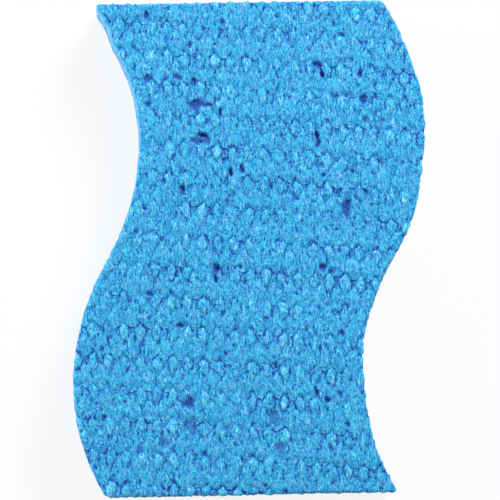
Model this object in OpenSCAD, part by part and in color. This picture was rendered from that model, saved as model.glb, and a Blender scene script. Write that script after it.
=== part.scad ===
// Wave-shaped cleaning sponge with a knitted face, millimetres, lying flat.
// X runs across it, Y along it and Z up; the origin is the middle of its underside.
// It is one piece: a block of cellulose foam that took the relief of a knitted cloth
// on its upper face and was then cut to shape by an upright die.

/* [Body] */
// Length from one straight end to the other
sponge_l = 112; // [90:1:130]
// Width straight across, from one wavy side to the other
sponge_w = 65.6; // [50:0.2:74]
// Thickness from the underside to the tops of the loops
sponge_t = 16; // [8:0.5:30]
// Radius of the four upright corners
corner_r = 1.2; // [0.4:0.1:4]

/* [Wavy sides] */
// Radius of each bend of a side
bend_r = 52.4; // [48:0.1:80]
// Lean of a side where its two bends meet, in degrees
bend_lean = 31.5; // [27:0.1:34]
// Where the two bends of a side meet, from the middle of the length
bend_y = -2.1; // [-5:0.1:5]
// How much farther along the right side's bends lie than the left side's
bend_lead = 0.6; // [-3:0.1:3]

/* [Knitted face] */
// Width of one stitch
stitch_w = 3.6; // [3.3:0.02:6]
// Length of one stitch, which is the spacing of the courses
stitch_l = 7; // [6.4:0.1:12]
// Depth of the grooves below the tops of the loops
stitch_h = 0.8; // [0.2:0.05:2]
// Slant of the courses, which run toward the near end as they go right, in degrees
course_slant = 4.9; // [-8:0.1:8]
// Sideways place of the loop nearest the middle
stitch_x = -0.2; // [-1.8:0.1:1.8]
// Lengthwise place of the loop nearest the middle
stitch_y = 0.7; // [-3.5:0.1:3.5]

/* [Hidden] */

// Steps along a side and round a corner
SIDE_STEPS = 56;
CORNER_STEPS = 4;

// Length of each end of a side that its corner's rounding takes, in corner radii
CORNER_REACH = 2.5;

// How far the relief reaches past the cut before it is trimmed
TRIM = 1.5;

// Points lie on four lines along each column of stitches: the groove left of the loop,
// the loop's own ridge, the groove right of it and the bridge to the next loop.
// Each value is a share of the stitch's width, from the middle of the loop.
LINES = [-0.31, 0, 0.31, 0.5];

// Each line has four points in a stitch: the scalloped groove that ends the course above,
// the loop's far end, its near end, and the lip of the band below it.
// They are given as [share of the stitch's length toward the near end, share of its depth].
GROOVE = [[-0.18, 0], [-0.05, 0.08], [0.12, 0.05], [0.62, 0.8]];
RIDGE = [[-0.33, 0], [-0.17, 1], [0.17, 0.95], [0.5, 0.55]];
BRIDGE = [[-0.15, 0.15], [-0.02, 0.4], [0.14, 0.55], [0.68, 0.95]];
STITCH = [GROOVE, RIDGE, GROOVE, BRIDGE];
PER_STITCH = len(LINES);

// Large pores as [x, y, radius]
PORES = [
    [-11.8, 32.7, 1.3],
    [-11.2, 25.6, 1.5],
    [15.8, 25.2, 1.1],
    [22.1, 8.6, 1.4],
    [-7.7, -5.3, 1.2],
    [-14.5, -35.4, 1.6],
    [-16.2, -17.2, 1.1],
    [5.1, -38.4, 1.4],
    [16.9, -34.2, 1],
    [-12.5, 38.3, 1],
    [16.7, 40, 1],
    [-5.2, 19.8, 1]
];

half_l = sponge_l / 2;
half_w = sponge_w / 2;
slant = tan(course_slant);

// Outline of the cut, seen from above

// Sideways place of a side at distance s past the meeting of its bends
function bend(s) =
    let (c = bend_r * cos(bend_lean), h = bend_r * sin(bend_lean))
    s > 0 ? sqrt(bend_r ^ 2 - (s - h) ^ 2) - c : c - sqrt(bend_r ^ 2 - (s + h) ^ 2);

function left_x(y) = bend(y - bend_y + bend_lead / 2) - half_w;
function right_x(y) = bend(y - bend_y - bend_lead / 2) + half_w;

function unit(v) = v / norm(v);

// Round a corner p whose edges leave it along a and then b
function rounded(p, a, b) =
    let (half = acos(a * b) / 2)
    let (middle = p + unit(a + b) * corner_r / sin(half))
    let (from = unit(p + a * corner_r / tan(half) - middle))
    let (to = unit(p + b * corner_r / tan(half) - middle))
    [for (i = [0 : CORNER_STEPS]) middle + corner_r * unit(from + (to - from) * i / CORNER_STEPS)];

// Points up one side, between the rounded corners
function left_point(y) = [left_x(y), y];
function right_point(y) = [right_x(y), y];
function side_y(i) = (half_l - CORNER_REACH * corner_r) * (2 * i / SIDE_STEPS - 1);

module outline() {
    near_left = left_point(-half_l);
    far_left = left_point(half_l);
    near_right = right_point(-half_l);
    far_right = right_point(half_l);
    polygon(concat(
        rounded(near_left, [1, 0], unit(left_point(side_y(0)) - near_left)),
        [for (i = [0 : SIDE_STEPS]) left_point(side_y(i))],
        rounded(far_left, unit(left_point(side_y(SIDE_STEPS)) - far_left), [1, 0]),
        rounded(far_right, [-1, 0], unit(right_point(side_y(SIDE_STEPS)) - far_right)),
        [for (i = [SIDE_STEPS : -1 : 0]) right_point(side_y(i))],
        rounded(near_right, unit(right_point(side_y(0)) - near_right), [-1, 0])
    ));
}

// Knitted face

// Lines k and rows r of points are counted from the stitch nearest the middle,
// lines toward the right and rows toward the near end
function stitch_of(i) = floor(i / PER_STITCH);
function step_of(i) = i - PER_STITCH * stitch_of(i);

function face_point(k, r) =
    let (x = stitch_x + stitch_w * (stitch_of(k) + LINES[step_of(k)]))
    let (s = STITCH[step_of(k)][step_of(r)])
    let (y = stitch_y - stitch_l * (stitch_of(r) + s[0]) - (x - stitch_x) * slant)
    [x, y, sponge_t - stitch_h * (1 - s[1])];

// Lengthwise place of row r where it passes x
function row_y(r, x) =
    stitch_y - stitch_l * (stitch_of(r) + GROOVE[step_of(r)][0]) - (x - stitch_x) * slant;

// The last line at or before x
function line_at(x) =
    let (q = (x - stitch_x) / stitch_w, stitch = floor(q - LINES[0]))
    PER_STITCH * stitch + len([for (l = LINES) if (stitch + l <= q) l]) - 1;

// The rows and lines that cover the outline with TRIM to spare
rows_enough = PER_STITCH * ceil((sponge_l + sponge_w) / stitch_l);
rise = half_w * abs(slant);
first_row = max([for (r = [-rows_enough : 0]) if (row_y(r, 0) - rise > half_l + TRIM) r]);
last_row = min([for (r = [0 : rows_enough]) if (row_y(r, 0) + rise < -half_l - TRIM) r]);
ROWS = [for (r = [first_row : last_row]) r];
STARTS = [for (r = ROWS)
    line_at(left_x(max(-half_l, min(half_l, row_y(r, -half_w)))) - TRIM)];
ENDS = [for (r = ROWS)
    line_at(right_x(max(-half_l, min(half_l, row_y(r, half_w)))) + TRIM) + 1];
first_line = min(STARTS);
last_line = max(ENDS);
columns = last_line - first_line + 1;

// Number of the point at line k of the i-th row; lines past its ends meet its last point
function at(k, i) = i * columns + max(STARTS[i], min(ENDS[i], k)) - first_line;

// Number of the point under the left (0) or right (1) end of the i-th row
function under(side, i) = len(ROWS) * columns + 2 * i + side;

// Two triangles between four neighbours, split the same way on both sides of a loop,
// without those that have shrunk to a line
function patch(k, i) =
    let (a = at(k, i), b = at(k + 1, i), c = at(k + 1, i + 1), d = at(k, i + 1))
    let (fold = step_of(k) == 1 || step_of(k) == 2)
    [for (t = fold ? [[a, b, d], [b, c, d]] : [[a, b, c], [a, c, d]])
        if (t[0] != t[1] && t[1] != t[2] && t[2] != t[0]) t];

module knitted_block() {
    last = len(ROWS) - 1;
    l = first_line;
    r = last_line;
    face = [for (row = ROWS, k = [l : r]) face_point(k, row)];
    foot = [for (i = [0 : last], k = [l, r]) let (p = face[at(k, i)]) [p[0], p[1], -TRIM]];
    knit = [for (i = [0 : last - 1], k = [l : r - 1]) each patch(k, i)];
    sides = [for (i = [0 : last - 1]) each [
        [at(l, i), at(l, i + 1), under(0, i + 1), under(0, i)],
        [at(r, i + 1), at(r, i), under(1, i), under(1, i + 1)],
        [under(0, i), under(0, i + 1), under(1, i + 1), under(1, i)]
    ]];
    far_end = [for (k = [STARTS[0] : ENDS[0] - 1]) [under(0, 0), at(k + 1, 0), at(k, 0)]];
    near_end = [for (k = [STARTS[last] : ENDS[last] - 1])
        [under(0, last), at(k, last), at(k + 1, last)]];
    corners = [
        [under(0, 0), under(1, 0), at(r, 0)],
        [under(0, last), at(r, last), under(1, last)]
    ];
    polyhedron(concat(face, foot), concat(knit, sides, far_end, near_end, corners));
}

module pores() {
    for (p = PORES) {
        translate([p[0], p[1], sponge_t]) sphere(p[2]);
    }
}

module sponge() {
    color("deepskyblue") difference() {
        intersection() {
            linear_extrude(sponge_t + TRIM) outline();
            knitted_block();
        }
        pores();
    }
}

sponge();
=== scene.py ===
# %% [markdown]
# # A wavy cleaning sponge with a knitted face
#
# The real thing is one block of blue cellulose foam. It swelled against a knitted cloth,
# so its upper face keeps the cloth's loops, and a die then cut it to a wave.
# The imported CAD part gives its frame: millimetre sizes, the flat underside at zero height
# and the knitted face up. This lesson gives that block the skin of real foam: loops that
# are all a little different, pits where a bubble broke, a torn rim and a cut wall.

import math

import bpy
import numpy as np
from mathutils import Matrix, Vector


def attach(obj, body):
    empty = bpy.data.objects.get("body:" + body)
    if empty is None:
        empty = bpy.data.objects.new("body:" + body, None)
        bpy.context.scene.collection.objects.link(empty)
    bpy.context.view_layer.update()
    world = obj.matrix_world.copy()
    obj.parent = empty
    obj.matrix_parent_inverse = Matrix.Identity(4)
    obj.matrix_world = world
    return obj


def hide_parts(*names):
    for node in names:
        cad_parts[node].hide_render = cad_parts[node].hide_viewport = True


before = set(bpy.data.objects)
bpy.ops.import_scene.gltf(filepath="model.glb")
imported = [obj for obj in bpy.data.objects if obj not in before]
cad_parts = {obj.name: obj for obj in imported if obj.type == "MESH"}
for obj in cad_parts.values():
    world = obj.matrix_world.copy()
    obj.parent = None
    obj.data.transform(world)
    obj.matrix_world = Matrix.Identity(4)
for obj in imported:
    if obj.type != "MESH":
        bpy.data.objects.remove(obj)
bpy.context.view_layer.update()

# %% [markdown]
# ## The camera
#
# The photo looks down on the sponge from far away, a little from its near left corner, so
# that a thin strip of wall shows where the far part of the left side bends away. A long
# lens far off keeps the outline true. An orthographic camera would do so too, but then
# other views would lose their natural depth. The camera's place follows from the scale of
# the photo, the point it is aimed at, and how far it leans to the left and to the near end.

# %% Camera
MM = 0.001
PHOTO_PIXELS = 500
MM_PER_PIXEL = 0.227
PHOTO_TURN = math.radians(1.0)
LENS = 200.0
SENSOR = 36.0
THICKNESS = 16.0
AIM_X, AIM_Y = -0.2, -0.55
LEAN_LEFT = math.radians(3.5)
LEAN_NEAR = math.radians(3.0)

distance = MM_PER_PIXEL * PHOTO_PIXELS * LENS / SENSOR
aim = Vector((AIM_X, AIM_Y, THICKNESS))
back = Vector((-math.sin(LEAN_LEFT), -math.sin(LEAN_NEAR), 0))
back.z = math.sqrt(1 - back.length_squared)
up = Vector((math.sin(PHOTO_TURN), math.cos(PHOTO_TURN), 0))
up = (up - back * up.dot(back)).normalized()
side = up.cross(back)
place = aim + back * distance

camera_data = bpy.data.cameras.new("camera")
camera_data.lens = LENS
camera_data.sensor_width = SENSOR
camera_data.clip_start = 0.01
camera_data.clip_end = 20
camera = bpy.data.objects.new("camera", camera_data)
bpy.context.collection.objects.link(camera)
turn = Matrix((side, up, back)).transposed().to_4x4()
camera.matrix_world = Matrix.Translation(place * MM) @ turn
bpy.context.scene.camera = camera
print("camera", round(distance), "mm from the knitted face")

# %% [markdown]
# ## Random fields
#
# Foam is irregular at every size, from the drift of a whole course of stitches to the
# fibres. One smooth random field, read at several sizes, gives all of it. Each point of a
# square lattice gets a random slope, and the slopes are blended in between, so the field
# has no corners. Working on whole arrays keeps this fast, and a fixed seed keeps every run
# the same.

# %% Smooth random field
LATTICE = 256
CLOUD_GAIN = 1.5


def cloud(x, y, size, seed):
    """Gradient noise of about -1 to 1: on a lattice with the given spacing each corner
    gives the dot product of its random unit slope with the way to the point, and the four
    are blended with the step 6t^5 - 15t^4 + 10t^3."""
    angle = np.random.default_rng(seed).uniform(0, 2 * math.pi, (LATTICE, LATTICE))
    u, v = x / size, y / size
    i, j = np.floor(u).astype(int), np.floor(v).astype(int)
    a, b = u - i, v - j
    ease_a = a**3 * (a * (6 * a - 15) + 10)
    ease_b = b**3 * (b * (6 * b - 15) + 10)

    def corner(di, dj):
        t = angle[(i + di) % LATTICE, (j + dj) % LATTICE]
        return np.cos(t) * (a - di) + np.sin(t) * (b - dj)

    low = corner(0, 0) * (1 - ease_a) + corner(1, 0) * ease_a
    high = corner(0, 1) * (1 - ease_a) + corner(1, 1) * ease_a
    return CLOUD_GAIN * (low * (1 - ease_b) + high * ease_b)


def ramp(low, high, x):
    """Smooth step from 0 at low to 1 at high; low may be the larger."""
    t = np.clip((x - low) / (high - low), 0, 1)
    return t * t * (3 - 2 * t)


def clouds(x, y, fields):
    """Sum of random fields, each listed as its size in millimetres, seed and strength."""
    return sum(strength * cloud(x, y, size, seed) for size, seed, strength in fields)


sample = cloud(np.arange(2000) * 0.37, np.arange(2000) * 0.21, 1.7, 1)
print("random field from %.2f to %.2f" % (sample.min(), sample.max()))

# %% [markdown]
# ## The outline
#
# Each long side is two arcs that meet with one lean, like an S drawn with a pair of
# compasses. That is how the die was laid out, and the CAD part has the same formula. The
# cut foam then swelled and dried, so the real edge strays from the arcs by less than half
# a millimetre, a little differently on the two sides. A few offsets along each side, with
# smooth steps between them, give that.

# %% Outline
LENGTH = 112.0
WIDTH = 65.6
CORNER = 1.2
BEND_RADIUS = 52.4
BEND_LEAN = math.radians(31.5)
BEND_Y = -2.1
BEND_LEAD = 0.6
HALF_LENGTH = LENGTH / 2

STRAY_Y = [-56, -48, -35, -21, -8, 6, 19, 33, 42, 47, 52, 56]
STRAY_LEFT = [-0.2, -0.2, -0.2, 0.1, 0.3, 0.0, 0.3, 0.4, 0.0, -0.4, 0.4, 0.5]
STRAY_RIGHT = [0.3, 0.1, 0.3, -0.2, 0.3, 0.3, -0.4, 0.1, -0.2, 0.0, 0.1, 0.3]


def bend(s):
    """Sideways place of a side at distance s past the point where its two arcs meet."""
    middle = BEND_RADIUS * math.cos(BEND_LEAN)
    reach = BEND_RADIUS * math.sin(BEND_LEAN)
    arc = np.sqrt(BEND_RADIUS**2 - (np.abs(s) - reach) ** 2) - middle
    return np.sign(s) * arc


def stray(values, y):
    """Offset of the cut edge: the listed values joined by smooth steps."""
    k = np.clip(np.searchsorted(STRAY_Y, y) - 1, 0, len(STRAY_Y) - 2)
    low, high = np.take(STRAY_Y, k), np.take(STRAY_Y, k + 1)
    share = ramp(0, 1, (y - low) / (high - low))
    return np.take(values, k) * (1 - share) + np.take(values, k + 1) * share


def left_x(y):
    """Left edge at height y of the plan, in millimetres."""
    return bend(y - BEND_Y + BEND_LEAD / 2) - WIDTH / 2 + stray(STRAY_LEFT, y)


def right_x(y):
    """Right edge at height y of the plan, in millimetres."""
    return bend(y - BEND_Y - BEND_LEAD / 2) + WIDTH / 2 + stray(STRAY_RIGHT, y)


ends = np.array([-HALF_LENGTH, 0.0, HALF_LENGTH])
print("left edge", np.round(left_x(ends), 1), "right edge", np.round(right_x(ends), 1))

# %% [markdown]
# ## The net of points
#
# The face is one surface with two parameters: across, from the left edge to the right
# one, and along, from the near end to the far one. The points lie closer together at the
# rim, where the surface turns down. The walls hang from the rim of the same net with half
# as many points round it, and the plain underside has a quarter, because nothing fine is
# there.

# %% Net of the face
ACROSS = 240
ALONG = 312
CROWDING = 0.6
CROWDED_BAND = 1.5


def graded(count, length, edge):
    """Positions from -length/2 to length/2. Their spacing shrinks toward both ends as a
    bell curve with the width edge, by the share CROWDING at the very ends."""
    middle = (np.arange(count) + 0.5) / count * length - length / 2
    gap = 1 - CROWDING * np.exp(-(((length / 2 - np.abs(middle)) / edge) ** 2))
    position = np.concatenate([[0], np.cumsum(gap)])
    return position / position[-1] * length - length / 2


def corner_inset(y):
    """How far a rounded corner draws the edge in at plan height y: r - sqrt(r^2 - t^2),
    where t is how far y lies inside the last r of the length."""
    t = np.clip(CORNER - (HALF_LENGTH - np.abs(y)), 0, CORNER)
    return CORNER - np.sqrt(CORNER**2 - t**2)


def plan(across, along):
    """Plan of the net: x runs from the left edge to the right one in the shares that
    across gives, and y is along. Rows of equal y, so both are whole arrays."""
    y = np.repeat(along[:, None], len(across), axis=1)
    inset = corner_inset(along)
    low = (left_x(along) + inset)[:, None]
    high = (right_x(along) - inset)[:, None]
    share = across[None, :] / WIDTH + 0.5
    return low + (high - low) * share, y


across = graded(ACROSS, WIDTH, CROWDED_BAND)
along = graded(ALONG, LENGTH, CROWDED_BAND)
x, y = plan(across, along)
print("face net", x.shape, "spacing %.2f by %.2f mm" % (WIDTH / ACROSS, LENGTH / ALONG))

# %% [markdown]
# ## The rim
#
# The upper edge is soft: the foam rounds over within less than a millimetre. The distance
# to the edge comes straight from the outline, and near a corner it is taken from the
# corner's own arc.

# %% Distance to the edge
RIM = 0.75


def edge_distance(x, y):
    """Distance in from the outline: across a long side it is the sideways distance times
    the cosine of the side's lean, and in a corner the distance from the corner's arc."""
    step = 0.1
    lean_left = (left_x(y + step) - left_x(y - step)) / (2 * step)
    lean_right = (right_x(y + step) - right_x(y - step)) / (2 * step)
    from_left = (x - left_x(y)) / np.sqrt(1 + lean_left**2)
    from_right = (right_x(y) - x) / np.sqrt(1 + lean_right**2)
    sideways = np.minimum(from_left, from_right)
    endways = HALF_LENGTH - np.abs(y)
    a = np.clip(CORNER - sideways, 0, None)
    b = np.clip(CORNER - endways, 0, None)
    rounded = CORNER - np.hypot(a, b)
    return np.where((a > 0) | (b > 0), rounded, np.minimum(sideways, endways))


edge = np.clip(edge_distance(x, y), 0, None)
rim_drop = RIM - np.sqrt(RIM**2 - np.clip(RIM - edge, 0, RIM) ** 2)
print("deepest point of the face", round(float(edge.max()), 1), "mm from the edge")

# %% [markdown]
# ## The stitches
#
# The cloth was a plain knit seen from its back: in each course there is a row of raised
# oval loops, and under them a swollen band whose lower lip hangs in scallops over the
# next course. Columns run along the sponge, and courses cross it with a slant. The
# pattern could be drawn once and repeated, but foam never copies a cloth evenly. So every
# point first gets its place in the pattern, as a column and a course, and that place is
# shifted by slow random fields before the height is looked up.

# %% Places in the pattern
STITCH_WIDTH = 3.6
STITCH_LENGTH = 7.0
STITCH_X = -0.2
STITCH_Y = 0.3
SLANT = math.tan(math.radians(4.9))
WIDENING = 0.0021
COURSE_BOW = 0.0007
# size of the random field in millimetres, its seed and how far it shifts, in stitches
COLUMN_STRAY = [(9, 11, 0.08), (3.0, 12, 0.13)]
COURSE_STRAY = [(11, 13, 0.04), (2.8, 14, 0.075)]


def pattern_place(x, y):
    """Column and course of each point, whole numbers at the middles of loops. Courses
    grow a little longer toward the near end and bow a little, both as squares of the
    place. Then both stray by the listed random fields: slowly over a centimetre, and by up
    to an eighth of a stitch over 3 mm."""
    column = (x - STITCH_X) / STITCH_WIDTH
    course = (STITCH_Y - y - (x - STITCH_X) * SLANT) / STITCH_LENGTH
    course = course - WIDENING * course**2 - COURSE_BOW * column**2
    return column + clouds(x, y, COLUMN_STRAY), course + clouds(x, y, COURSE_STRAY)


column, course = pattern_place(x, y)
print("columns %.0f to %.0f" % (column.min(), column.max()))
print("courses %.0f to %.0f" % (course.min(), course.max()))

# %% [markdown]
# The height of a stitch then follows from its place. Round each loop runs a thin groove
# with six sides, pointed toward both ends like a leaf. Its two upper sides are also the
# scalloped lip of the band above, and it is deepest at its four side corners, where the
# yarns crossed. The loop fills the leaf, and the bands and bridges fill the rest, lower
# and flatter. An oval would be simpler, but the real loops are pointed, and the distance
# to the six sides also tells the finish where its dark lines run.
#
# The foam took some courses boldly and others faintly, and each groove is broken here and
# there. So one slow random field says how bold each course is along its length, and a
# finer one breaks the grooves.

# %% The leaf round a loop
LEAF_SIDE = 1.17
LEAF_TOP, LEAF_TOP_SLOPE = -2.3, 1.05
LEAF_FOOT, LEAF_FOOT_SLOPE = 2.69, 1.76
LEAF_WAVER = 0.12


def nearest_whole(value):
    """Distance to the nearest whole number."""
    return np.abs(value - np.round(value))


def leaf_inside(column, course):
    """Distance in millimetres inside the leaf's outline, negative outside it: the least
    of the distances to an upper side, a long side and a lower side. Where two courses
    meet, the nearer leaf counts."""
    u = nearest_whole(column) * STITCH_WIDTH
    below = (course - np.floor(course)) * STITCH_LENGTH

    def one_leaf(v):
        upper = (v - LEAF_TOP - LEAF_TOP_SLOPE * u) / math.hypot(1, LEAF_TOP_SLOPE)
        lower = (LEAF_FOOT - v - LEAF_FOOT_SLOPE * u) / math.hypot(1, LEAF_FOOT_SLOPE)
        return np.minimum(np.minimum(upper, lower), LEAF_SIDE - u)

    return np.maximum(one_leaf(below), one_leaf(below - STITCH_LENGTH))


leaf = leaf_inside(column, course) + LEAF_WAVER * cloud(x, y, 1.3, 15)
print("leaves reach %.2f mm inside their grooves" % leaf.max())

# %% Grooves and lips
GROOVE_WIDTH = 0.24
GROOVE_BASE = 0.21
GROOVE_BELLS = [
    # share of the stitch from the middle of the loop, width, strength
    (-0.33, 0.05, 0.5),
    (-0.24, 0.08, 0.25),
    (-0.15, 0.06, 0.7),
    (0.085, 0.045, 0.5),
]
LIP = -0.15
LIP_STRENGTH = 0.5
FINE_BOLDNESS = 0.5
# between which two values of a field the grooves come out: where it is low, they break
BREAKS = (-0.7, 0.2)
FAINT_COURSES = (-1.2, 0.5)
FAINT_LIPS = (-0.9, 0.2)


def groove_strength(course):
    """How deep the groove is along a stitch: a base, and bell curves of the given place,
    width and strength at the leaf's tip, along its upper sides and at its side corners."""
    v = course - np.round(course)
    bells = [size * np.exp(-(((v - place) / width) ** 2)) for place, width, size in GROOVE_BELLS]
    return GROOVE_BASE + sum(bells)


row = np.round(course - LIP)
bold = cloud(x, row * STITCH_LENGTH, 10, 18) + FINE_BOLDNESS * cloud(x, y, 3.5, 19)
broken = ramp(*BREAKS, cloud(x, y, 1.9, 16)) * ramp(*FAINT_COURSES, bold)
strength = groove_strength(course) * broken
groove = np.exp(-((leaf / GROOVE_WIDTH) ** 2))
past_lip = (course - LIP - row) * STITCH_LENGTH
between = ramp(0.30, 0.36, nearest_whole(column)) * ramp(*FAINT_LIPS, bold)
lip = LIP_STRENGTH * between * np.exp(-((past_lip / GROOVE_WIDTH) ** 2))
grooves = np.maximum(strength * groove, lip)
print("mean strength of the grooves %.2f" % grooves.mean())

# %% [markdown]
# The last part of the height is the soft form between the grooves. The yarn was pulled
# harder in some loops than in others, so each loop also has a height of its own, a random
# value that is read once for each whole column and course.

# %% Height of a stitch
CROWN_START, CROWN_REACH = 0.2, 0.7
LOOP_FOOT, LOOP_RISE, LOOP_SPREAD = 0.53, 0.43, 0.2
GROUND_FOOT, GROUND_RISE, GROUND_REACH = 0.5, 0.3, 0.35
LIP_SINK = 0.16
GROOVE_DEPTH = 0.46


def stitch_height(leaf, course, own):
    """Height of the knit without its groove, as a share of the relief. Inside the leaf it
    is a crown, 1 - (1 - t)^2 of the distance t inside, times the loop's own rise. Outside,
    the ground rises from the groove as 1 - exp(-distance / reach) and sinks a little
    toward the lip of the band."""
    t = np.clip((leaf - CROWN_START) / CROWN_REACH, 0, 1)
    loop = LOOP_FOOT + (LOOP_RISE + LOOP_SPREAD * own) * (1 - (1 - t) ** 2)
    below = course - np.floor(course)
    toward_lip = ramp(0.3, 0.75, below) * ramp(1.0, 0.88, below)
    away = 1 - np.exp(-np.clip(-leaf, 0, None) / GROUND_REACH)
    ground = GROUND_FOOT + GROUND_RISE * away - LIP_SINK * toward_lip
    return np.where(leaf > 0, loop, ground)


own = cloud(np.round(column) * 2.9, np.round(course) * 5.3, 4.0, 20)
height = np.clip(stitch_height(leaf, course, own) - GROOVE_DEPTH * grooves, 0, None)
print("mean height of the knit %.2f" % height.mean())

# %% [markdown]
# ## Bubbles and swelling
#
# The foam also has features of its own: broken bubbles that are open pits, places where
# the loops came out faint, and a crumbly grain. The pits are placed where the photo has
# them, from wide shallow hollows to narrow deep holes. Their sides are steep and ragged,
# because a bubble is wider inside than at its mouth. Each pit also gets painted shade for
# the finish, darkest at its far side, under the overhang.

# %% Pits of the face
PITS = [
    # across, along, half width, half length, depth
    # far third
    (-22.9, 52.9, 0.45, 0.9, 0.9),
    (-26.2, 46.4, 0.4, 0.6, 0.6),
    (-13.2, 46.2, 0.4, 0.7, 0.9),
    (-18.9, 45.4, 0.4, 0.5, 0.5),
    (-5.7, 51.4, 0.45, 0.7, 0.8),
    (19.8, 50.6, 0.45, 0.6, 0.7),
    (-22.9, 38.6, 0.9, 0.7, 0.8),
    (-16.1, 39.0, 0.8, 0.7, 0.8),
    (-12.5, 37.9, 0.6, 0.8, 0.9),
    (-22.8, 32.8, 0.6, 0.6, 0.8),
    (-12.0, 32.3, 1.3, 1.5, 1.0),
    (-9.2, 32.5, 1.1, 0.4, 0.9),
    (-6.5, 30.9, 0.35, 0.7, 1.0),
    (16.0, 41.6, 0.7, 0.7, 0.9),
    (16.9, 39.4, 0.5, 0.7, 1.2),
    (23.5, 42.4, 1.4, 0.6, 0.4),
    (25.4, 39.3, 0.6, 0.9, 1.1),
    (23.0, 34.6, 1.0, 0.6, 0.5),
    (26.3, 33.8, 0.7, 0.9, 1.0),
    (-10.4, 25.8, 0.7, 0.5, 1.6),
    (-11.7, 24.6, 1.1, 0.9, 0.8),
    (-9.6, 24.4, 0.7, 0.9, 0.8),
    (15.7, 24.9, 0.55, 1.6, 1.3),
    (26.8, 28.7, 0.8, 0.7, 0.6),
    (30.5, 28.5, 0.8, 0.6, 0.5),
    # middle third
    (-5.6, 19.8, 0.7, 0.5, 0.8),
    (-4.3, 16.8, 0.4, 0.9, 1.2),
    (-1.7, 17.8, 0.5, 1.0, 1.0),
    (16.2, 18.4, 0.9, 0.7, 0.7),
    (16.9, 16.2, 0.4, 0.5, 1.0),
    (23.5, 16.8, 0.4, 0.9, 0.8),
    (-19.7, 15.2, 0.4, 0.4, 0.7),
    (-15.2, 13.0, 0.6, 1.0, 1.0),
    (-5.2, 10.5, 0.5, 0.8, 0.7),
    (22.1, 8.5, 1.0, 1.9, 1.1),
    (19.6, 3.9, 0.3, 0.35, 1.0),
    (-7.9, -5.0, 0.6, 1.1, 1.3),
    (-8.0, -7.0, 0.5, 1.2, 1.2),
    (-2.4, -4.3, 0.3, 0.5, 1.0),
    (-1.6, -7.9, 0.3, 0.6, 0.9),
    (16.3, -4.9, 0.7, 0.8, 1.1),
    (18.2, -5.8, 0.7, 0.7, 0.8),
    (-23.3, -10.2, 0.6, 0.5, 0.8),
    (-16.2, -17.6, 1.0, 0.5, 0.9),
    (12.4, -19.0, 0.5, 0.5, 0.7),
    # near third
    (20.3, -19.8, 0.5, 0.6, 0.9),
    (-6.1, -24.2, 0.4, 0.6, 0.7),
    (5.2, -27.0, 0.4, 0.6, 0.8),
    (14.4, -33.2, 0.5, 0.8, 1.0),
    (16.9, -34.8, 0.5, 0.5, 1.0),
    (19.9, -33.4, 0.6, 0.6, 0.6),
    (-14.6, -35.2, 1.1, 1.2, 1.0),
    (-14.0, -40.8, 1.1, 2.0, 0.55),
    (-20.1, -44.1, 0.9, 1.3, 0.5),
    (5.0, -38.8, 1.5, 1.8, 0.55),
    (5.9, -46.0, 1.0, 1.4, 0.5),
    (21.3, -40.5, 0.5, 0.5, 0.8),
    (-34.0, -37.9, 0.5, 0.5, 0.7),
    (-34.0, -22.5, 0.5, 0.5, 0.6),
    (2.4, -54.1, 0.4, 0.5, 0.7),
    (-29.2, -53.0, 0.5, 0.5, 0.7),
]
# where a pit's side starts and ends, in half widths from its middle
PIT_SIDE = (1.55, 0.7)
PIT_SINK = 0.75
RAGGED = [(1.7, 31, 0.75), (0.75, 32, 0.35)]
# painted shade of a pit: at its middle, toward its far side, and by its depth
PIT_SHADE, FAR_SIDE_SHADE = 0.85, 0.25
SHALLOW_DARKNESS, DEPTH_DARKNESS, MOST_DARKNESS = 0.3, 0.9, 1.6

# pit holds the painted shade of the pits, darkest at their far sides; pit_depth holds how far
# they sink
pit = np.zeros_like(x)
pit_depth = np.zeros_like(x)
ragged = clouds(x, y, RAGGED)
for across_mm, along_mm, half_width, half_length, depth in PITS:
    far = np.hypot((x - across_mm) / half_width, (y - along_mm) / half_length) + ragged
    mouth = ramp(*PIT_SIDE, far)
    shade = PIT_SHADE + FAR_SIDE_SHADE * np.clip((y - along_mm) / half_length, -1, 1)
    darkness = min(MOST_DARKNESS, SHALLOW_DARKNESS + DEPTH_DARKNESS * depth)
    pit = np.maximum(pit, mouth * shade * darkness)
    pit_depth = np.maximum(pit_depth, PIT_SINK * depth * mouth)
print(len(PITS), "pits, mean darkness %.2f%%" % (100 * pit.mean()))

# %% [markdown]
# All of it adds up to the height of each point: the knit times its relief, fainter in some
# places, then slow swelling and a fine grain that is drawn out along the sponge, and last
# the pits and the rounding of the rim.

# %% Heights of the face
RELIEF = 0.8
FAINTNESS = 0.4
SWELL = [(17, 42, 0.12), (6, 43, 0.08)]
GRAIN = 0.10

faint = 1 - FAINTNESS * ramp(0.1, 0.8, cloud(x, y, 8, 41))
swell = clouds(x, y, SWELL)
grain = GRAIN * cloud(x, y / 1.3, 1.5, 44) + GRAIN * cloud(x, y / 1.6, 0.8, 45)
top = THICKNESS - RELIEF * (1 - height) * faint + swell + grain - pit_depth
top = top - rim_drop
print("face from %.2f to %.2f mm" % (top.min(), top.max()))

# %% [markdown]
# ## The torn rim
#
# Where a groove of the knit runs out over the edge, the die met less foam, and the edge
# has a small notch there. So the rim is drawn in by an amount that follows the height of
# the knit, and the points just inside follow, less and less. The far end also strays
# outward a little at its right.

# %% Notches in the rim
NOTCH = 0.34
TEAR = 0.22
OUTWARD = 0.14
NOTCH_REACH = 1.6
FAR_STRAY = 0.3
SLOPE_STEP = 0.05


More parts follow.
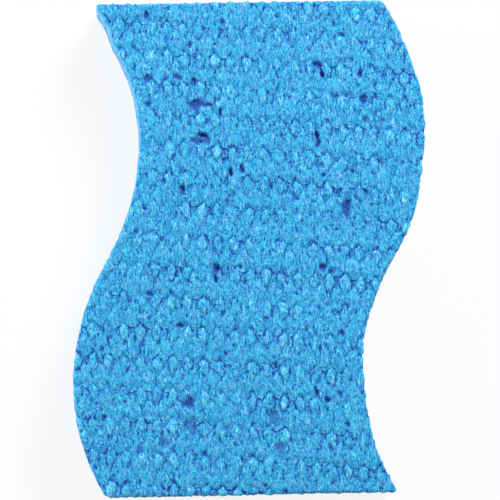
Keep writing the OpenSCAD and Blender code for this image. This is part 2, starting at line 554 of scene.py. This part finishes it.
def drawn_in(x, y, height):
    """Plan of the face with its rim drawn in: each point moves along the slope of the
    edge distance, by the notch depth times how low the knit lies there, and a random tear,
    faded out as (1 - distance / reach) squared."""
    step = SLOPE_STEP
    slope_x = (edge_distance(x + step, y) - edge_distance(x - step, y)) / (2 * step)
    slope_y = (edge_distance(x, y + step) - edge_distance(x, y - step)) / (2 * step)
    size = NOTCH * (1 - height) + TEAR * cloud(x, y, 1.1, 51) - OUTWARD
    fade = np.clip(1 - edge_distance(x, y) / NOTCH_REACH, 0, 1) ** 2
    return x + slope_x * size * fade, y + slope_y * size * fade


face_x, face_y = drawn_in(x, y, height)
face_y = face_y + FAR_STRAY * ramp(-25, 15, x) * ramp(45, 56, y)
shift = np.hypot(face_x - x, face_y - y)
print("rim drawn in by up to %.2f mm" % shift.max())

# %% Loop of points round the rim


def round_the_edge(shape):
    """Numbers of the points round a net, counter-clockwise from its near left corner."""
    number = np.arange(shape[0] * shape[1]).reshape(shape)
    return np.concatenate(
        [number[0, :-1], number[:-1, -1], number[-1, :0:-1], number[:0:-1, 0]]
    )


rim = round_the_edge(x.shape)
rim_points = np.stack([face_x.ravel()[rim], face_y.ravel()[rim], top.ravel()[rim]], 1)
plan_points = np.stack([x.ravel()[rim], y.ravel()[rim]], 1)
print(len(rim), "points round the rim")

# %% [markdown]
# ## The cut wall
#
# The die went straight down, so the wall is upright, but it is a cut through foam: shallow
# dents where it crossed a bubble, and a slight waviness from swelling. The wall is a
# second surface with two parameters: the way round the sponge, and the way down. Its
# points are moved along the outward normal of the outline. It starts from the torn rim,
# whose notches fade out within a few millimetres, and its foot is marked for the finish,
# because it lies in its own shade.

# %% Wall
WALL_ROWS = 27
FIRST_ROW = 0.03
FOOT = 0.45


def outward(points):
    """Unit normal of a closed loop in plan: its chord from neighbour to neighbour, turned
    a quarter turn clockwise."""
    chord = np.roll(points, -2, 0) - np.roll(points, 2, 0)
    normal = np.stack([chord[:, 1], -chord[:, 0]], 1)
    return normal / np.linalg.norm(normal, axis=1)[:, None]


ring = plan_points[::2]
normal = outward(ring)
step_round = np.linalg.norm(np.roll(ring, -1, 0) - ring, axis=1)
way_round = np.concatenate([[0], np.cumsum(step_round)[:-1]])
round_length = step_round.sum()
down = np.linspace(FIRST_ROW, 1, WALL_ROWS)[:, None]
rim_height = rim_points[::2, 2][None, :]
wall_z = rim_height + (FOOT - rim_height) * down
below_rim = rim_height - wall_z
way = np.repeat(way_round[None, :], WALL_ROWS, 0)
seam_fade = ramp(0, 3, way) * ramp(0, 3, round_length - way)
print("wall", way.shape, "round", round(float(round_length)), "mm")

# %% Bubbles in the wall
WALL_DENTS = 150
DENT_LOW, DENT_HIGH = 1, 14.5
DENT_RADIUS, DENT_SPREAD = 0.55, 1.0
DENT_SQUASH = 0.85

dent_rng = np.random.default_rng(61)
wall_pit = np.zeros_like(way)
wall_ragged = 0.3 * cloud(way, wall_z, 1.3, 62)
for _ in range(WALL_DENTS):
    middle, level = dent_rng.uniform(0, round_length), dent_rng.uniform(DENT_LOW, DENT_HIGH)
    radius = DENT_RADIUS + DENT_SPREAD * dent_rng.random() ** 3
    far = np.hypot(way - middle, (wall_z - level) * DENT_SQUASH) / radius + wall_ragged
    wall_pit = np.maximum(wall_pit, ramp(1.2, 0.5, far))
wall_pit = wall_pit * seam_fade
print("bubbles cover %.0f%% of the wall" % (100 * wall_pit.mean()))

# %% Surface of the wall
WALL_SWELL = [(6, 63, 0.22), (1.7, 64, 0.12)]
DENT_DEPTH = 0.7
NOTCH_DOWN = 2.2
SHADED_FOOT = (2.6, 0.5)

notch = np.einsum("ij,ij->i", rim_points[::2, :2] - ring, normal)[None, :]
bulge = clouds(way, wall_z, WALL_SWELL) - DENT_DEPTH * wall_pit
bulge = bulge * ramp(0, 1.5, below_rim) * seam_fade
offset = notch * np.exp(-((below_rim / NOTCH_DOWN) ** 2)) + bulge
foot = ramp(*SHADED_FOOT, wall_z)
wall_x = ring[None, :, 0] + normal[None, :, 0] * offset
wall_y = ring[None, :, 1] + normal[None, :, 1] * offset
print("wall moved by %.2f to %.2f mm" % (offset.min(), offset.max()))

# %% [markdown]
# ## The underside
#
# The sponge lies on this face, and the photo doesn't show it, so it is flat and plain, as
# the uncut side of such a block is. Only its edge is eased by half a millimetre. It is the
# same net as the face with a quarter of the points.

# %% Underside and its eased edge
UNDER_INSET = 1.3
# how far in each loop of the eased edge lies, and how high
EASED = [(0.06, 0.2), (0.22, 0.05), (0.5, 0.0)]
under_along = along[::4] * (1 - UNDER_INSET / HALF_LENGTH)
under_share = (across[::4] / WIDTH + 0.5)[None, :]
under_low = (left_x(under_along) + UNDER_INSET)[:, None]
under_high = (right_x(under_along) - UNDER_INSET)[:, None]
under_x = under_low + (under_high - under_low) * under_share
under_y = np.repeat(under_along[:, None], under_x.shape[1], axis=1)
eased = []
for inset, level in EASED:
    plan_now = np.stack([wall_x[-1], wall_y[-1]], 1) - normal * inset
    eased.append(np.column_stack([plan_now, np.full(len(ring), level)]))
print("underside net", under_x.shape)

# %% [markdown]
# ## One closed skin
#
# The face, the wall and the underside are joined into a single closed mesh, as the real
# sponge is one piece. Where a loop of points meets one with half as many, three triangles
# span each gap. All the faces point outward because every list goes round the same way.

# %% Faces between the nets


def net_quads(shape, start, upward):
    """Four-sided faces of a net whose points are numbered row by row from start."""
    number = start + np.arange(shape[0] * shape[1]).reshape(shape)
    a, b = number[:-1, :-1], number[:-1, 1:]
    c, d = number[1:, 1:], number[1:, :-1]
    order = [a, b, c, d] if upward else [a, d, c, b]
    return np.stack([part.ravel() for part in order], 1)


def band_quads(upper, lower):
    """Faces between two loops with as many points."""
    return np.stack([upper, lower, np.roll(lower, -1), np.roll(upper, -1)], 1)


def halving_triangles(fine, coarse):
    """Three triangles for each point of the coarse loop, which has half as many."""
    a, middle, b = fine[::2], fine[1::2], np.roll(fine, -2)[::2]
    p, q = coarse, np.roll(coarse, -1)
    groups = [[a, p, middle], [middle, p, q], [middle, q, b]]
    return np.concatenate([np.stack(group, 1) for group in groups])


face_points = np.stack([face_x, face_y, top], 2).reshape(-1, 3)
wall_points = np.stack([wall_x, wall_y, wall_z], 2).reshape(-1, 3)
eased_points = np.concatenate(eased)
under_points = np.stack([under_x, under_y, np.zeros_like(under_x)], 2).reshape(-1, 3)
points = np.concatenate([face_points, wall_points, eased_points, under_points])

count = len(ring)
loops = len(face_points) + np.arange((WALL_ROWS + len(eased)) * count).reshape(-1, count)
under_start = len(face_points) + len(wall_points) + len(eased_points)
under_rim = under_start + round_the_edge(under_x.shape)
quads = [net_quads(x.shape, 0, True), net_quads(under_x.shape, under_start, False)]
quads += [band_quads(upper, lower) for upper, lower in zip(loops[:-1], loops[1:])]
quads = np.concatenate(quads)
triangles = np.concatenate(
    [halving_triangles(rim, loops[0]), halving_triangles(loops[-1], under_rim)]
)
print(len(points), "points,", 2 * len(quads) + len(triangles), "triangles")

# %% The sponge as one mesh
mesh = bpy.data.meshes.new("foam_sponge")
mesh.from_pydata((points * MM).tolist(), [], quads.tolist() + triangles.tolist())
mesh.shade_smooth()
sponge = bpy.data.objects.new("foam_sponge", mesh)
bpy.context.collection.objects.link(sponge)
print("the sponge has", len(mesh.polygons), "faces")

# %% [markdown]
# The mesh also carries, at each point, what the finish needs to know about the form: how
# far inside its leaf the point lies, how strong the groove is there, how far past the lip
# it is, and so on. The finish could guess this from the slope of the surface, but these
# numbers are exact and stay with the foam.

# %% What the finish reads from the mesh
OFF_LEAF = -2.0
OFF_LIP = 1.0
PLAIN_DEPTH = 0.3
LIP_SHARE = 0.7
CUT_BELOW_RIM = (0.2, 1.2)
CUT_LOST_AT_FOOT = 0.7
CUT_UNDERNEATH = 0.3

# cut: share of painted highlight on the wall, from just below the rim, less toward the foot
cut_wall = ramp(*CUT_BELOW_RIM, below_rim) * (1 - CUT_LOST_AT_FOOT * foot)
others = len(points) - len(face_points)
skin = {
    # name: values on the face, on the wall and on the underside
    "leaf": (leaf, OFF_LEAF, OFF_LEAF),
    "groove": (strength * faint, 0.0, 0.0),
    "past_lip": (past_lip, OFF_LIP, OFF_LIP),
    "lip": (LIP_SHARE * between * faint, 0.0, 0.0),
    "bold": (bold, 0.0, 0.0),
    "own": (own, 0.0, 0.0),
    # depth also sets painted light and shade: lighter where the knit stands high, darker deep in
    # it
    "depth": (1 - height, PLAIN_DEPTH, PLAIN_DEPTH),
    # painted shade of the pits and of the wall's dents
    "pit": (pit, wall_pit, 0.0),
    "cut": (0.0, cut_wall, CUT_UNDERNEATH),
    "foot": (0.0, foot, 0.0),
}
sizes = [x.shape, wall_x.shape, (others - wall_x.size,)]
for name, values in skin.items():
    parts = [np.broadcast_to(value, size).ravel() for value, size in zip(values, sizes)]
    whole = np.concatenate(parts)
    mesh.attributes.new(name, "FLOAT", "POINT").data.foreach_set("value", whole)
print("mesh is sound:", not mesh.validate())

# %% [markdown]
# ## The finish
#
# Wet-spun cellulose is a matt, slightly glassy crumb. Its colour follows its form: light
# cyan where a fibre catches the light, deeper blue in the grooves, indigo in the pits,
# because light that has bounced between blue walls loses its green first. An image could
# carry this, but a few procedural fields keep the part free of pictures, and they stay
# fixed to the foam on its own coordinates. Node arithmetic is written as Python
# expressions through a small wrapper round a socket.

# %% Wires and finishes


class Wire:
    """An output socket that takes part in arithmetic and adds a Math node for it."""

    def __init__(self, finish, socket):
        self.finish, self.socket = finish, socket

    def math(self, operation, first, second):
        settings = {"operation": operation}
        return self.finish.node("ShaderNodeMath", settings, {0: first, 1: second})

    def __add__(self, other):
        return self.math("ADD", self, other)

    def __radd__(self, other):
        return self.math("ADD", other, self)

    def __sub__(self, other):
        return self.math("SUBTRACT", self, other)

    def __rsub__(self, other):
        return self.math("SUBTRACT", other, self)

    def __mul__(self, other):
        return self.math("MULTIPLY", self, other)

    def __rmul__(self, other):
        return self.math("MULTIPLY", other, self)

    def larger(self, other):
        return self.math("MAXIMUM", self, other)


class Finish:
    """A material, or the room's light, whose nodes are added one by one."""

    def __init__(self, owner):
        self.owner = owner
        owner.use_nodes = True
        self.tree = owner.node_tree
        self.tree.nodes.clear()

    def node(self, kind, settings=None, inputs=None, output=0):
        """Adds a node, sets it up, then fills its sockets, and returns one output."""
        made = self.tree.nodes.new(kind)
        for key, value in (settings or {}).items():
            if key == "stops":
                for stop in value[2:]:
                    made.color_ramp.elements.new(stop[0])
                for element, stop in zip(made.color_ramp.elements, value):
                    element.position, element.color = stop
            else:
                setattr(made, key, value)
        for key, value in (inputs or {}).items():
            if isinstance(value, Wire):
                self.tree.links.new(value.socket, made.inputs[key])
            else:
                made.inputs[key].default_value = value
        return Wire(self, made.outputs[output]) if made.outputs else None

    def step(self, value, low, high):
        """Smooth step from 0 at low to 1 at high."""
        settings = {"interpolation_type": "SMOOTHSTEP"}
        inputs = {"Value": value, "From Min": low, "From Max": high}
        return self.node("ShaderNodeMapRange", settings, inputs)

    def seen_directly(self):
        """1 for what the camera sees, also in a reflection or through glass, else 0."""
        camera_ray = self.node("ShaderNodeLightPath", output=0)
        glossy_ray = self.node("ShaderNodeLightPath", output=3)
        clear_ray = self.node("ShaderNodeLightPath", output=6)
        return camera_ray.larger(glossy_ray).larger(clear_ray)

    def surface(self, shader, output="ShaderNodeOutputMaterial"):
        """Makes the shader what is seen."""
        self.node(output, None, {"Surface": shader})


def paint(red, green, blue):
    """Linear colour of a screen colour from 0 to 255: ((c + 0.055) / 1.055)^2.4, or
    c / 12.92 near black."""
    share = np.array([red, green, blue]) / 255
    curve = ((share + 0.055) / 1.055) ** 2.4
    return (*np.where(share <= 0.04045, share / 12.92, curve), 1.0)


print("cyan of the foam", np.round(paint(60, 175, 225), 3))

# %% [markdown]
# The foam's colours are few. There are six tones from light cyan to deep blue, and two indigos
# of painted shade for the pits and the wall's dents and cells. A pale blue is painted on the
# cut wall as a highlight, for the light that its thin strip catches. A tint pushes the tones
# toward cyan in some places and violet in others, because the photo's dark marks are more
# violet than its light ones. The helpers below make the noise fields that everything else uses.

# %% Colours and helpers of the foam
TONES = [
    (0.0, paint(138, 222, 252)),
    (0.2, paint(92, 199, 245)),
    (0.4, paint(64, 178, 232)),
    (0.6, paint(48, 147, 214)),
    (0.8, paint(34, 108, 188)),
    (1.0, paint(22, 70, 158)),
]
# painted shade: indigo in the pits and the wall's dents and cells, navy in the deepest pits
SHADE_INDIGO = paint(52, 88, 178)
DEEP_SHADE_NAVY = paint(30, 46, 134)
# painted highlight for the light that the thin strip of cut wall catches
LIT_WALL_PALE = paint(152, 215, 254)
CYAN_TINT = (0.6, 1.05, 0.93, 1.0)
VIOLET_TINT = (1.8, 0.93, 0.97, 1.0)

foam = Finish(bpy.data.materials.new("cellulose_foam"))
on_object = foam.node("ShaderNodeTexCoord", output=3)
scale_up = {"operation": "SCALE"}
place_mm = foam.node("ShaderNodeVectorMath", scale_up, {0: on_object, "Scale": 1 / MM})


def field(place, size, detail=2.0, roughness=0.5):
    """Noise of the finish about 0, with features of the given size in millimetres."""
    inputs = {"Vector": place, "Scale": 1 / size, "Detail": detail, "Roughness": roughness}
    return foam.node("ShaderNodeTexNoise", None, inputs) - 0.5


def stretched(place, sizes):
    """Coordinates on which a pattern of size 1 gets the given sizes in millimetres."""
    shares = [1 / size for size in sizes]
    return foam.node("ShaderNodeVectorMath", {"operation": "MULTIPLY"}, {0: place, 1: shares})


def attribute(name):
    """A value that the mesh carries at each point."""
    return foam.node("ShaderNodeAttribute", {"attribute_name": name}, output=2)


def size_of(value):
    """The value without its sign."""
    return foam.node("ShaderNodeMath", {"operation": "ABSOLUTE"}, {0: value})


def weighed(start, parts):
    """A start value plus each field times its weight."""
    total = start
    for part, weight in parts:
        total = total + part * weight
    return total


def mixed(share, first, second, blend="MIX"):
    """Colour that goes from the first to the second by the share, or blends them."""
    settings = {"data_type": "RGBA", "blend_type": blend}
    return foam.node("ShaderNodeMix", settings, {0: share, 6: first, 7: second}, 2)


def pores(size, radius, share):
    """Round pores: 1 near scattered points that lie about size apart, 0 beyond the
    radius, both in millimetres, and only round the given share of the points."""
    inputs = {"Vector": place_mm, "Scale": 1 / size}
    far = foam.node("ShaderNodeTexVoronoi", None, inputs, 0)
    chance = foam.node("ShaderNodeTexVoronoi", None, inputs, 1)
    chance = foam.node("ShaderNodeSeparateXYZ", None, {0: chance}, 0)
    near = foam.step(far, radius / size, 0.4 * radius / size)
    return near * foam.step(chance, share + 0.05, share - 0.05)


print(len(TONES), "tones, two indigos and a pale blue")

# %% [markdown]
# The dark lines of the knit are painted shade in its grooves and under its lips. They are drawn
# from the numbers that the mesh carries, such as how far a point lies inside its leaf or past
# its lip. So they can be thinner than a facet of the mesh. A little noise frays them, they
# break where it is low, and they are strongest where a course came out boldly. Above each
# lip runs a painted light line, where the band catches the lamp, and below it a painted
# soft shade.

# %% Painted shade in the grooves of the knit
FRAY = 0.9
# for each mark, how far from its middle it starts and how far it is full, in millimetres
LEAF_LINE, LIP_LINE = (0.20, 0.05), (0.22, 0.04)
LIT_LINE, SHADED_BAND = (0.20, 0.04), (0.6, 0.2)
NEAR_LINE = (0.8, 0.1)
LIT_ABOVE, SHADED_BELOW = 0.35, 0.6
GAPS, FEWER_GAPS = (-0.10, 0.06), 0.14
LINE_START, LINE_BOLDNESS = 1.15, 0.5

fray = field(place_mm, 0.8, 3.0) * FRAY
off_groove = size_of(attribute("leaf") + fray)
gaps = foam.step(field(place_mm, 0.9, 2.0) + attribute("bold") * FEWER_GAPS, *GAPS)
past_lip = attribute("past_lip") + fray
leaf_line = foam.step(off_groove, *LEAF_LINE) * attribute("groove")
lip_line = foam.step(size_of(past_lip), *LIP_LINE) * attribute("lip")
boldness = LINE_START + attribute("bold") * LINE_BOLDNESS
lines = leaf_line.larger(lip_line) * gaps * boldness
lip_light = foam.step(size_of(past_lip + LIT_ABOVE), *LIT_LINE) * attribute("lip")
lip_shade = foam.step(size_of(past_lip - SHADED_BELOW), *SHADED_BAND) * attribute("lip")
near_line = foam.step(off_groove, *NEAR_LINE)
loop_here = foam.step(attribute("leaf") + fray * 0.5, 0.1, 0.5)
on_loop = attribute("own") * loop_here
print(len(foam.tree.nodes), "nodes up to the lines")

# %% [markdown]
# Between the lines lies the texture of the foam: crumbs, fibres drawn out along the
# sponge, dents, light flecks that are painted highlights where a fibre catches the lamp,
# a web of fine strands, and small pores. The long marks sway a little from side to side,
# because straight ones looked combed. On the cut wall, cells of three sizes take the
# place of the fibres.

# %% Fibres, strands and small pores
# sizes in millimetres across, along and down
FIBRE_SIZE = (0.25, 1.2, 0.5)
DENT_SIZE = (0.66, 1.4, 0.8)
FLECK_SIZE = (0.34, 1.6, 0.9)
WEB_SIZE = (0.9, 1.6, 0.9)
# how far apart, radius and share
SPECKS = (1.15, 0.33, 0.5)
CELLS = [(2.6, 0.85, 0.6), (1.3, 0.42, 0.7), (0.7, 0.24, 0.8)]

sway = foam.node("ShaderNodeCombineXYZ", None, {"X": field(place_mm, 1.9, 0.0)})
swayed = foam.node("ShaderNodeVectorMath", {"operation": "ADD"}, {0: place_mm, 1: sway})
crumb = field(place_mm, 0.42, 2.0, 0.6)
fibre = field(stretched(swayed, FIBRE_SIZE), 1.0, 2.0)
patch = field(place_mm, 4.0, 2.0)
dents = foam.step(field(stretched(swayed, DENT_SIZE), 1.0, 1.0), 0.05, 0.16)
# painted highlights: flecks where a fibre catches the lamp
glint_flecks = foam.step(field(stretched(swayed, FLECK_SIZE), 1.0, 1.0), 0.07, 0.16)
web = foam.step(size_of(field(stretched(swayed, WEB_SIZE), 1.0, 1.5)), 0.05, 0.0)
specks = pores(*SPECKS)
cut = attribute("cut")
large_cells, middle_cells, small_cells = [pores(*sizes) for sizes in CELLS]
cells = large_cells.larger(middle_cells).larger(small_cells)
tint = field(place_mm, 0.6, 1.0) + field(place_mm, 1.7, 2.0)
print(len(foam.tree.nodes), "nodes up to the texture")

# %% [markdown]
# The tone of a point runs from 0, the lightest cyan, to 1, the deepest blue. It starts
# just below the middle, and each mark makes the foam darker, or with a minus sign lighter,
# by its own weight. A ramp turns the tone into a colour.

# %% Tone of the foam
TONE_START = 0.45
tone_marks = [
    # field, how much darker it makes the foam
    # painted light and shade: the knit is lighter where it stands high and darker in its grooves
    (attribute("depth"), 0.17),
    (lines, 0.56),
    (lip_shade, 0.2),
    (lip_light, -0.36),
    (crumb, 1.05),
    (fibre, 1.25),
    (patch, 0.05),
    (dents, 0.14),
    (dents * near_line, 0.24),
    (specks, 0.26),
    (web, -0.16),
    # painted highlights where fibres catch the lamp, brighter on the loops
    (glint_flecks, -0.12),
    (glint_flecks * loop_here, -0.2),
    (glint_flecks * on_loop, -0.14),
    (attribute("foot"), 0.22),
    # painted light: taller loops are lighter
    (on_loop, -0.1),
]
tone = weighed(TONE_START, tone_marks)
colour = foam.node("ShaderNodeValToRGB", {"stops": TONES}, {"Fac": tone})
print(len(tone_marks), "marks make the tone")

# %% Tint, cut wall and pits
VIOLET_START = 0.36
violet_marks = [
    # field, how much more violet it makes the foam
    (tint, 1.6),
    (dents, 0.3),
    # the painted shade of the grooves and under the lips turns violet too
    (lines, 0.4),
    (lip_shade, 0.3),
]
CUT_PALENESS = 0.4
HOLLOW_SHARE, CORE_SHARE, CELL_SHARE = 0.88, 0.8, 0.6
# how dark a pit is where its hollow and its core start, and where they are full
HOLLOW, CORE = (0.1, 1.05), (0.95, 1.4)

violet = weighed(VIOLET_START, violet_marks)
colour = mixed(1.0, colour, mixed(violet, CYAN_TINT, VIOLET_TINT), "MULTIPLY")
# painted highlight: the cut wall is mixed toward pale blue
colour = mixed(cut * CUT_PALENESS, colour, LIT_WALL_PALE)
# painted shade: the pits and the wall's dents and cells turn indigo, and the deepest pits navy
hollow = foam.step(attribute("pit") + crumb * 0.5, *HOLLOW) * HOLLOW_SHARE
hollow = hollow.larger(cells * cut * CELL_SHARE)
colour = mixed(hollow, colour, SHADE_INDIGO)
core = foam.step(attribute("pit") + crumb * 0.4, *CORE) * CORE_SHARE
colour = mixed(core, colour, DEEP_SHADE_NAVY)
print(len(foam.tree.nodes), "nodes up to the colour")

# %% [markdown]
# What is finer than the mesh, such as crumbs and fibres, gets its relief from a bump. It
# could be geometry too, but it would take millions of points. The surface is matt, because
# light enters the foam and comes out again all round.

# %% Fine relief and shader
BUMP_HEIGHT = 0.0003
BUMP_STRENGTH = 0.55
ROUGHNESS = 0.6
GLOSS = 0.1
relief_marks = [
    # field, how far it stands out
    (crumb, 0.8),
    (fibre, 0.7),
    (dents, -0.35),
    (lines, -0.5),
    (web, 0.2),
    (glint_flecks, 0.2),
    (specks, -0.4),
    (cells * cut, -1.5),
]
fine_relief = weighed(0.0, relief_marks)
bump_inputs = {"Height": fine_relief, "Distance": BUMP_HEIGHT, "Strength": BUMP_STRENGTH}
bump = foam.node("ShaderNodeBump", None, bump_inputs)
matt = {"Base Color": colour, "Normal": bump, "Roughness": ROUGHNESS, "Specular IOR Level": GLOSS}
foam.surface(foam.node("ShaderNodeBsdfPrincipled", None, matt))
mesh.materials.append(foam.owner)
print(len(foam.tree.nodes), "nodes in the foam")

# %% [markdown]
# ## The floor and the light
#
# A pale floor carries the sponge and its soft shadow. It is white to the camera, but it
# doesn't throw more light on the foam than a pale table does. The light is plain: a
# bright room, a large lamp beyond the far end, which draws the courses, and a weaker one
# on the left, which lights the thin strip of wall.

# %% Floor
FLOOR_SIZE = 3.0
FLOOR_LEVEL = -0.0001
WHITENESS = 0.85
floor_mesh = bpy.data.meshes.new("floor")
end = FLOOR_SIZE / 2
floor_corners = [(-end, -end), (end, -end), (end, end), (-end, end)]
floor_mesh.from_pydata([(a, b, FLOOR_LEVEL) for a, b in floor_corners], [], [(0, 1, 2, 3)])
floor = bpy.data.objects.new("floor", floor_mesh)
bpy.context.collection.objects.link(floor)

pale = Finish(bpy.data.materials.new("pale_floor"))
lit = pale.node("ShaderNodeBsdfDiffuse", None, {"Color": paint(238, 239, 240)})
glow = pale.node("ShaderNodeEmission", None, {"Color": (1, 1, 1, 1), "Strength": 1.0})
share = pale.seen_directly() * WHITENESS
pale.surface(pale.node("ShaderNodeMixShader", None, {0: share, 1: lit, 2: glow}))
floor_mesh.materials.append(pale.owner)
print("floor of", FLOOR_SIZE, "metres")

# %% Lamps and room
LAMPS = [
    # name, place and size in metres, power in watts
    ("far_lamp", (0.3, 0.5, 0.45), 0.25, 5.4),
    ("left_lamp", (-0.65, 0.05, 0.16), 0.4, 4.0),
]
for name, lamp_place, width, power in LAMPS:
    lamp = bpy.data.lights.new(name, "AREA")
    lamp.size = width
    lamp.energy = power
    made = bpy.data.objects.new(name, lamp)
    made.location = lamp_place
    made.rotation_euler = (-Vector(lamp_place)).to_track_quat("-Z", "Y").to_euler()
    bpy.context.collection.objects.link(made)

ROOM_LIGHT = 0.37
room = Finish(bpy.data.worlds.new("room"))
level = ROOM_LIGHT + room.seen_directly() * (1 - ROOM_LIGHT)
white = room.node("ShaderNodeBackground", None, {"Color": (1, 1, 1, 1), "Strength": level})
room.surface(white, "ShaderNodeOutputWorld")
bpy.context.scene.world = room.owner
bpy.context.scene.view_settings.view_transform = "Standard"
print(len(LAMPS), "lamps")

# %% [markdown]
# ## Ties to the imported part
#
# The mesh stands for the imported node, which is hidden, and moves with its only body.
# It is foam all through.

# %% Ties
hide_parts("sponge")
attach(sponge, "root")
